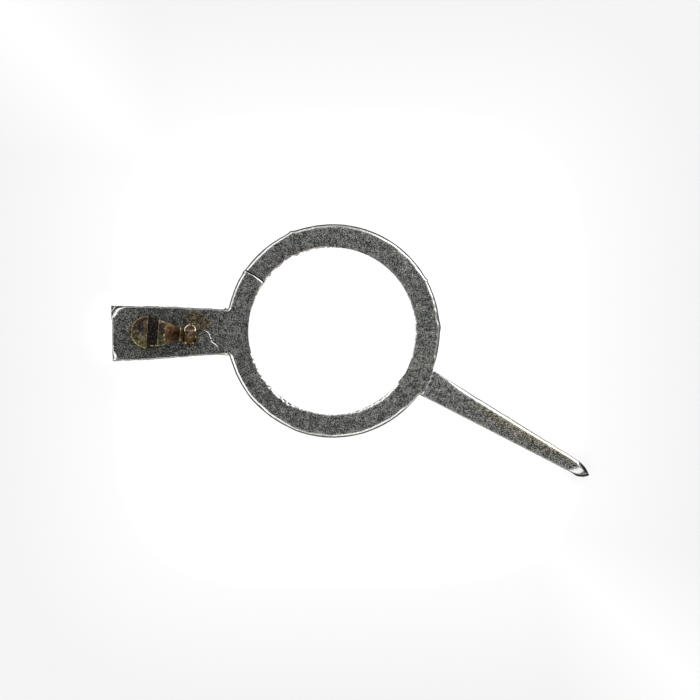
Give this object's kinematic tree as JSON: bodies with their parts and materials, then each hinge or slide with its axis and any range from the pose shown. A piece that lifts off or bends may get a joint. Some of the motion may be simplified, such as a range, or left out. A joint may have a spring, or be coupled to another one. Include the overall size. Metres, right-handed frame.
{
  "type": "watch regulator",
  "caption": "Steel watch regulator with a split ring that clamps on its seat, a pointer, and a tail that carries a turning brass boot and a brass curb pin.",
  "frame": {"origin": "centre of the ring's bore, on the flat face that the part lies on", "axes": "+Z along the ring's axis, towards the free ends of the boot and the curb pin; -X along the tail; the pointer runs towards +X and -Y"},
  "size_m": [0.0095, 0.005, 0.001],
  "materials": {
    "stamped_steel": "stamped carbon steel, matt and finely grained, with bright rolled edges",
    "turned_brass": "turned brass, worn and tarnished brown",
    "pin_brass": "drawn brass wire, tarnished, with a bright rounded tip"
  },
  "bodies": {
    "index": {"index": "stamped_steel", "curb_pin": "pin_brass"},
    "boot": {"boot": "turned_brass"}
  },
  "joints": [
    {"name": "boot_turn", "type": "hinge", "parent": "index", "child": "boot", "pos_m": [-0.0037, 0, 0], "axis": [0, 0, 1], "continuous": true}
  ]
}
